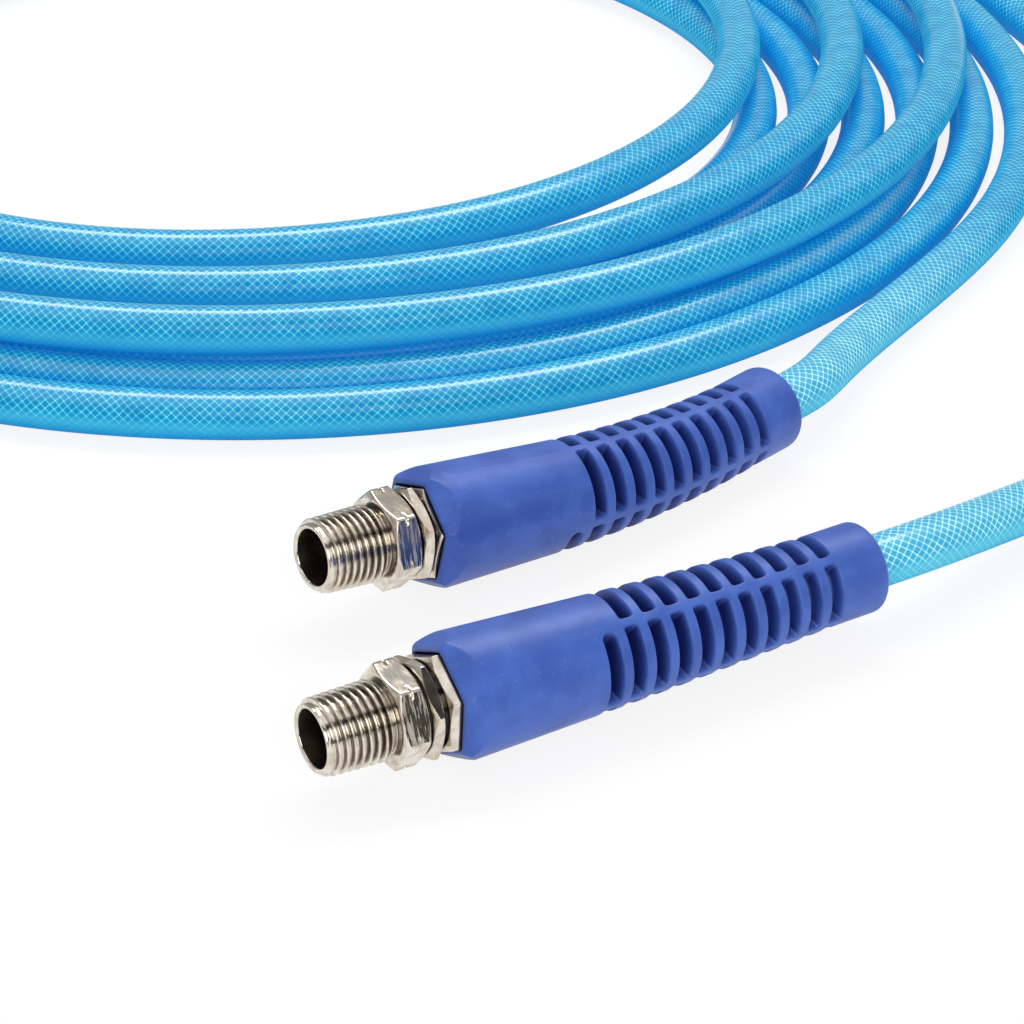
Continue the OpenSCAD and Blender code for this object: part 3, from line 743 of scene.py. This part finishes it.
# %% The braid
def braid(tree, run, turn, patches):
    """The net and its crossings, as values from 0 to 1. Two families of lines run round the hose
    in opposite senses: steps along plus yarns round, and steps along minus yarns round. A point's
    distance from the next line of each family gives the yarn, and where both are near two yarns
    cross."""
    steps = add(tree, "Math", (run, GIRTH / BRAID_STEP), TIMES)
    steps = add(tree, "Math", (steps, add(tree, "Math", (patches, WANDER), TIMES)), PLUS)
    round_hose = add(tree, "Math", (turn, float(YARNS_ROUND)), TIMES)
    core, edge = YARN_CORE / BRAID_STEP, YARN_EDGE / BRAID_STEP
    yarns = []
    for sense in (PLUS, MINUS):
        wave = add(tree, "Math", (steps, round_hose), sense)
        wave = add(tree, "Math", (wave, 0.5), PINGPONG)
        yarns.append(add(tree, "MapRange", (wave, core, edge, 1.0, 0.0), SMOOTH))
    return add(tree, "Math", yarns, LARGER), add(tree, "Math", yarns, TIMES)


def braided_polyurethane():
    """The braid over cells of deep blue. On the underside the skin blurs it, and its paler colour
    there is painted light from the pale floor. Where other turns or the floor lie close, painted
    shade deepens the blue, and the free ends, which lie alone on the floor, are painted paler for
    its light. A little painted glow stands for the light that comes through the wall. The glossy
    skin is the shader's coat: polyurethane's index is about 1.5, and it is set higher, for the
    two surfaces that shine."""
    material, tree, shader = finish("clear_braided_polyurethane")
    uv = add(tree, "UVMap", settings={"uv_map": "along_round"})
    run, turn = add(tree, "SeparateXYZ", (uv,), out="X"), add(tree, "SeparateXYZ", (uv,), out="Y")
    where = add(tree, "TexCoord", out="Object")
    patch_scale = 1 / (WANDER_SIZE * MM)
    patches = add(tree, "TexNoise", {"Vector": where, "Scale": patch_scale, "Detail": 2.0})
    net, crossings = braid(tree, run, turn, patches)

    # Painted light: the free ends are painted paler, for the pale floor's light through the clear
    # wall.
    last = hose_length / GIRTH
    near_a = add(tree, "MapRange", (run, PALE_A[0], PALE_A[1], 1.0, 0.0), SMOOTH)
    near_b = add(tree, "MapRange", (run, last - PALE_B[0], last - PALE_B[1]), SMOOTH)
    ends = add(tree, "Math", (near_a, near_b), LARGER)
    half = add(tree, "Math", (ends, 0.45), TIMES)

    cells = {SHARE: patches, FIRST: CELL_DARK, SECOND: CELL_LIGHT}
    cells = add(tree, "Mix", cells, COLOURS, MIXED)
    cells = add(tree, "Mix", {SHARE: half, FIRST: cells, SECOND: CELL_PALE}, COLOURS, MIXED)
    yarn = add(tree, "Mix", {SHARE: ends, FIRST: YARN, SECOND: YARN_PALE}, COLOURS, MIXED)
    crossing = {SHARE: ends, FIRST: CROSSING, SECOND: CROSSING_PALE}
    crossing = add(tree, "Mix", crossing, COLOURS, MIXED)
    uneven = add(tree, "MapRange", (patches, 0.3, 0.7, 0.55, 1.0), SMOOTH)
    share = add(tree, "Math", (net, uneven), TIMES)
    pattern = add(tree, "Mix", {SHARE: share, FIRST: cells, SECOND: yarn}, COLOURS, MIXED)
    share = add(tree, "Math", (crossings, uneven), TIMES)
    pattern = add(tree, "Mix", {SHARE: share, FIRST: pattern, SECOND: crossing}, COLOURS, MIXED)

    # Painted light: towards the underside the braid fades into a paler skin, which stands for the
    # pale floor's light.
    height = add(tree, "SeparateXYZ", (add(tree, "NewGeometry", out="Normal"),), out="Z")
    under = add(tree, "MapRange", (height, 0.4, -0.15), SMOOTH)
    skin = add(tree, "Mix", {SHARE: under, FIRST: SKIN_SIDE, SECOND: SKIN_FLOOR_LIT}, COLOURS, MIXED)
    skin = add(tree, "Mix", {SHARE: half, FIRST: skin, SECOND: SKIN_PALE}, COLOURS, MIXED)
    share = add(tree, "Math", (under, 0.75), TIMES)
    colour = add(tree, "Mix", {SHARE: share, FIRST: pattern, SECOND: skin}, COLOURS, MIXED)
    # Painted shade: where other turns or the floor lie close, the colour deepens to a darker blue.
    sky = add(tree, "AmbientOcclusion", {"Distance": LOOP_SHADE_REACH * MM}, FEW, "AO")
    shade = add(tree, "MapRange", (sky, 0.25, 0.75, 0.8, 0.0), SMOOTH)
    colour = {SHARE: shade, FIRST: colour, SECOND: PAINTED_LOOP_SHADE}
    colour = add(tree, "Mix", colour, COLOURS, MIXED)

    relief = {"Distance": BUMP * MM, "Height": add(tree, "Math", (net, patches), PLUS)}
    looks = {
        "Base Color": colour,
        "Roughness": 0.5,
        "Specular IOR Level": 0.0,
        "Normal": add(tree, "Bump", {"Strength": 0.3, **relief}),
        # Painted glow: the hose gives off a little light in its own colour, for the light that
        # comes through its clear wall.
        "Emission Color": colour,
        "Emission Strength": 0.22,
        "Coat Weight": add(tree, "MapRange", (height, 0.35, 0.85, 0.08, 1.0), SMOOTH),
        "Coat Roughness": 0.22,
        "Coat IOR": 1.7,
        "Coat Normal": add(tree, "Bump", {"Strength": 0.12, **relief}),
    }
    link(tree, shader, looks)
    return material


dress(hose, braided_polyurethane())
print("hose finish", len(hose.active_material.node_tree.nodes), "nodes")


# %% [markdown]
# ## Moulded thermoplastic rubber
# The boots are injection-moulded in a royal-blue thermoplastic rubber. The mould's fine texture
# makes them satin: broad soft highlights and no mirror image. The colour is almost even, with a
# faint mottle from the flow, a few pale specks of dust, and painted shade, a much darker blue,
# down in the slots.

# %% The boots' finish
GRAIN_SIZE = 1.11  # the mould's own grain is about 0.1 mm, drawn coarser so that it shows
FLOW_SIZE = 7.14
DUST_SIZE = 0.667  # dust is finer too, and is drawn as coarse as it needs to show
SLOT_SHADE_REACH = 4  # a little more than a slot's width
# The navy is painted shade, for down in the slots.
BOOT_DARK, BOOT_LIGHT, BOOT_DUST, BOOT_SLOT_SHADE = "#375BB4", "#4369C4", "#8FA6E0", "#141F66"


def moulded_boot():
    """Two blues mixed by soft flow marks, with specks and painted shade in the slots, over a fine
    grain.
    """
    material, tree, shader = finish("royal_blue_moulded_boot")
    where = add(tree, "TexCoord", out="Object")
    grain = {"Vector": where, "Scale": 1 / (GRAIN_SIZE * MM), "Detail": 2.0}
    grain = add(tree, "TexNoise", grain)
    flow = {"Vector": where, "Scale": 1 / (FLOW_SIZE * MM), "Detail": 3.0}
    flow = add(tree, "MapRange", (add(tree, "TexNoise", flow), 0.35, 0.65), SMOOTH)
    dust = add(tree, "TexNoise", {"Vector": where, "Scale": 1 / (DUST_SIZE * MM)})
    dust = add(tree, "MapRange", (dust, 0.66, 0.74), SMOOTH)
    dust = add(tree, "Math", (dust, 0.2), TIMES)
    # Painted shade: down in the slots the colour darkens to a deep navy.
    sky = add(tree, "AmbientOcclusion", {"Distance": SLOT_SHADE_REACH * MM}, FEW, "AO")
    sky = add(tree, "MapRange", (sky, 0.3, 0.85), SMOOTH)
    colour = {SHARE: flow, FIRST: BOOT_DARK, SECOND: BOOT_LIGHT}
    colour = add(tree, "Mix", colour, COLOURS, MIXED)
    colour = add(tree, "Mix", {SHARE: dust, FIRST: colour, SECOND: BOOT_DUST}, COLOURS, MIXED)
    colour = add(tree, "Mix", {SHARE: sky, FIRST: BOOT_SLOT_SHADE, SECOND: colour}, COLOURS, MIXED)
    bump = add(tree, "Bump", {"Strength": 0.2, "Distance": BUMP * MM, "Height": grain})
    link(tree, shader, {"Base Color": colour, "Roughness": 0.42, "Normal": bump})
    return material


boot_finish = moulded_boot()
for end in FITTINGS.values():
    dress(end["moulding"], boot_finish)
print("boot finish", len(boot_finish.node_tree.nodes), "nodes")


# %% [markdown]
# ## Nickel-plated brass
# The metal parts are turned and milled from brass bar and then nickel plated. The plating is
# bright and a little warm, because the brass shows through where it is thin. Turned threads
# mirror sharply, while the hexagons' flats keep the cutter's marks as dull lines. Edges are worn
# bright, and crevices get painted shade. The bore is as good as bare brass, and is painted
# brown-black as shade.

# %% The metal's finish
MILL_STEP, MILL_RUN = 0.294, 3.675  # a cutter's marks are 0.1 mm apart, drawn coarser to show
BLOTCH_SIZE = 2.38
BORE_BLOTCH_SIZE = 3.33
EDGE_R = 0.25  # how far a worn edge is rounded
CREVICE_SHADE_REACH = 4
MILL_BUMP = 0.03
# The near-black is painted shade for crevices and corners.
NICKEL_WARM, NICKEL_BRIGHT, NICKEL_WORN, CREVICE_SHADE = "#CFC3B2", "#E8E0D4", "#F0EAE0", "#1E1A16"
# Painted shade: the bore's two dark browns stand for the little light that reaches inside.
BORE_SHADE_DARK, BORE_SHADE_BROWN = "#0E0B08", "#2A221A"
TURNED_MARKS, MILLED_MARKS = 0.04, 0.28  # roughness that the marks add


def nickel_plated(name, marks):
    """Plated metal in two tones, with worn edges, painted shade in crevices, and marks of the tool
    across the side faces, which add roughness. A bevel of the normal softens the hexagons' edges,
    and where it turns the normal lies an edge."""
    material, tree, shader = finish(name)
    where = add(tree, "TexCoord", out="Object")
    squeeze = MILL_STEP / MILL_RUN
    along = add(tree, "Mapping", {"Vector": where, "Scale": (1.0, squeeze, squeeze)})
    lines = {"Vector": along, "Scale": 1 / (MILL_STEP * MM), "Detail": 2.0}
    lines = add(tree, "TexNoise", lines)
    blotch = {"Vector": where, "Scale": 1 / (BLOTCH_SIZE * MM), "Detail": 4.0}
    blotch = add(tree, "TexNoise", blotch)

    rounded = add(tree, "Bevel", {"Radius": EDGE_R * MM}, FEW)
    straight = add(tree, "NewGeometry", out="Normal")
    alike = add(tree, "VectorMath", (rounded, straight), {"operation": "DOT_PRODUCT"}, "Value")
    worn = add(tree, "MapRange", (alike, 0.99, 0.9), SMOOTH)
    worn = add(tree, "Math", (worn, 0.7), TIMES)
    tone = add(tree, "MapRange", (blotch, 0.35, 0.65), SMOOTH)
    colour = {SHARE: tone, FIRST: NICKEL_WARM, SECOND: NICKEL_BRIGHT}
    colour = add(tree, "Mix", colour, COLOURS, MIXED)
    colour = add(tree, "Mix", {SHARE: worn, FIRST: colour, SECOND: NICKEL_WORN}, COLOURS, MIXED)
    # Painted shade: in crevices, corners and thread roots the colour darkens towards near black.
    sky = add(tree, "AmbientOcclusion", {"Distance": CREVICE_SHADE_REACH * MM}, FEW, "AO")
    sky = add(tree, "MapRange", (sky, 0.12, 0.62), SMOOTH)
    colour = add(tree, "Mix", {SHARE: sky, FIRST: CREVICE_SHADE, SECOND: colour}, COLOURS, MIXED)

    side_on = add(tree, "SeparateXYZ", (add(tree, "TexCoord", out="Normal"),), out="Z")
    side_on = add(tree, "MapRange", (side_on, 0.65, 0.45), SMOOTH)
    dull = add(tree, "MapRange", (lines, 0.5, 0.6), SMOOTH)
    dull = add(tree, "Math", (dull, side_on), TIMES)
    dull = add(tree, "Math", (dull, marks), TIMES)
    rough = add(tree, "MapRange", (blotch, 0.3, 0.7, 0.2, 0.1), SMOOTH)
    rough = add(tree, "Math", (rough, dull), PLUS)
    bump = {"Strength": 0.5, "Distance": MILL_BUMP * MM, "Height": lines, "Normal": rounded}
    bump = add(tree, "Bump", bump)
    looks = {"Base Color": colour, "Metallic": 1.0, "Roughness": rough, "Normal": bump}
    link(tree, shader, looks)
    return material


def shaded_bore_finish():
    """Painted shade for the bore's bare brass: two dark browns in soft blotches, with little
    shine.
    """
    material, tree, shader = finish("painted_shade_bore")
    blotch = {"Vector": add(tree, "TexCoord", out="Object"), "Detail": 3.0}
    blotch = add(tree, "TexNoise", {**blotch, "Scale": 1 / (BORE_BLOTCH_SIZE * MM)})
    blotch = add(tree, "MapRange", (blotch, 0.4, 0.7), SMOOTH)
    colour = {SHARE: blotch, FIRST: BORE_SHADE_DARK, SECOND: BORE_SHADE_BROWN}
    colour = add(tree, "Mix", colour, COLOURS, MIXED)
    link(tree, shader, {"Base Color": colour, "Roughness": 0.5, "Specular IOR Level": 0.2})
    return material


thread_finish = nickel_plated("nickel_plated_brass", TURNED_MARKS)
hexagon_finish = nickel_plated("milled_nickel_plated_brass", MILLED_MARKS)
bore_finish = shaded_bore_finish()
for end in FITTINGS.values():
    dress(end["swivel"], thread_finish, hexagon_finish, bore_finish)
    face_finish = np.repeat(end["row_finish"], SWIVEL_SIDES).astype(np.int32)
    end["swivel"].data.polygons.foreach_set("material_index", face_finish)
for name, node in nodes.items():
    if name.startswith(("barb_stem", "compression_nut")):
        dress(node, thread_finish)
print("metal finish", len(thread_finish.node_tree.nodes), "nodes")


# %% [markdown]
# ## Floor and light
# The object lies on a white sweep, the curved paper of a small studio. A real sweep needs its own
# lamps to look white, and those would bleach the object too. Here the floor is told apart by who
# looks: the light that falls on it finds a pale floor, while the camera and shiny surfaces see a
# floor that is nearly white by itself and keeps a faint shadow.

# %% Floor
FLOOR_SIZE = 3000
FLOOR_LIT, FLOOR_SEEN = "#ECEDEF", "#6C6C6C"  # to light that falls on it, and to who sees it
FLOOR_WHITE = 0.86  # the floor's own white where it is seen, and the light on it adds the rest


def seen(tree, *rays):
    """1 for rays of one of these kinds, and 0 for the rest."""
    total = 0.0
    for ray in rays:
        total = add(tree, "Math", (add(tree, "LightPath", out=f"Is {ray} Ray"), total), LARGER)
    return total


def lay_floor():
    """A square at the floor's height. Seen directly it is mostly a white of its own, with a share
    of the light that falls on it, so that it keeps a faint shadow."""
    half = FLOOR_SIZE / 2 * MM
    corners = [(-half, -half), (half, -half), (half, half), (-half, half)]
    mesh = bpy.data.meshes.new("floor")
    mesh.from_pydata([(x, y, FLOOR_Z * MM) for x, y in corners], [], [(0, 1, 2, 3)])
    item = new_object("floor", mesh)
    material, tree, shader = finish("white_sweep")
    direct = seen(tree, "Camera", "Glossy", "Transmission")
    colour = {SHARE: direct, FIRST: FLOOR_LIT, SECOND: FLOOR_SEEN}
    looks = {
        "Base Color": add(tree, "Mix", colour, COLOURS, MIXED),
        "Roughness": 1.0,
        "Specular IOR Level": 0.0,
        "Emission Color": "#FFFFFF",
        "Emission Strength": add(tree, "Math", (direct, FLOOR_WHITE), TIMES),
    }
    link(tree, shader, looks)
    dress(item, material)
    return item


floor = lay_floor()
print("floor at", FLOOR_Z, "mm")


# %% [markdown]
# ## The studio round the object
# Metal looks like metal because of what it mirrors. In an all-white room it would turn flat grey,
# so a studio sets black cards and bright panels round it. Here they are bands in the world, by
# the angle over the object from front to back, and only shiny surfaces see them. The camera sees
# white, and everything else gets a low even light. A long soft lamp overhead, a little behind the
# object, gives the hose its shine, and a weaker one in front fills the shadows.

# %% Light
AROUND, BEHIND_ALL = "#B4B4B4", "#FFFFFF"  # the even light, and what the camera sees
# Degrees from the front horizon over the top to the back one, and how bright it is there: a dark
# card, a pale panel, a dark card, the lamp's glow, and grey.
BANDS = [
    (0, 0.05),
    (18, 0.05),
    (25, 0.8),
    (44, 0.8),
    (50, 0.04),
    (64, 0.04),
    (70, 1.0),
    (106, 1.0),
    (113, 0.4),
    (165, 0.35),
    (180, 0.5),
]
LAMPS = {
    "overhead": {
        "place": (350, 500, 900),
        "aim": (120, 150, 0),
        "size": (900, 260),
        "watts": 6,
    },
    "front": {
        "place": (-300, -900, 500),
        "aim": (100, 60, 0),
        "size": (900, 600),
        "watts": 5,
    },
}


def surround():
    """The world's colour. The angle over the object is the arctangent of height over the way to
    the front, and a ramp turns it into the bands' brightness."""
    world = bpy.data.worlds.new("surround")
    bpy.context.scene.world = world
    world.use_nodes = True
    tree = world.node_tree
    way = add(tree, "TexCoord", out="Generated")
    back, up = add(tree, "SeparateXYZ", (way,), out="Y"), add(tree, "SeparateXYZ", (way,), out="Z")
    front = add(tree, "Math", (back, -1.0), TIMES)
    over = add(tree, "Math", (up, front), {"operation": "ARCTAN2"})
    bands = add(tree, "ValToRGB", (add(tree, "Math", (over, np.pi), {"operation": "DIVIDE"}),))
    elements = bands.node.color_ramp.elements
    for element, (angle, level) in ((elements[0], BANDS[0]), (elements[1], BANDS[-1])):
        element.position, element.color = angle / 180, (level, level, level, 1)
    for angle, level in BANDS[1:-1]:
        elements.new(angle / 180).color = (level, level, level, 1)
    mirrored = seen(tree, "Glossy")
    light = add(tree, "Mix", {SHARE: mirrored, FIRST: AROUND, SECOND: bands}, COLOURS, MIXED)
    direct = seen(tree, "Camera", "Transmission")
    light = add(tree, "Mix", {SHARE: direct, FIRST: light, SECOND: BEHIND_ALL}, COLOURS, MIXED)
    link(tree, tree.nodes["Background"], {"Color": light})


def lamp(name, place, aim, size, watts):
    """A soft rectangular lamp at a place, turned towards what it lights."""
    data = bpy.data.lights.new(name, "AREA")
    data.shape = "RECTANGLE"
    data.size, data.size_y = size[0] * MM, size[1] * MM
    data.energy = watts
    item = bpy.data.objects.new(name, data)
    place, aim = Vector(place) * MM, Vector(aim) * MM
    item.location = place
    item.rotation_euler = (aim - place).to_track_quat("-Z", "Y").to_euler()
    bpy.context.scene.collection.objects.link(item)


surround()
for name, values in LAMPS.items():
    lamp(name, **values)
    print("lamp", name, values["watts"], "W")

bpy.context.scene.view_settings.view_transform = "Standard"
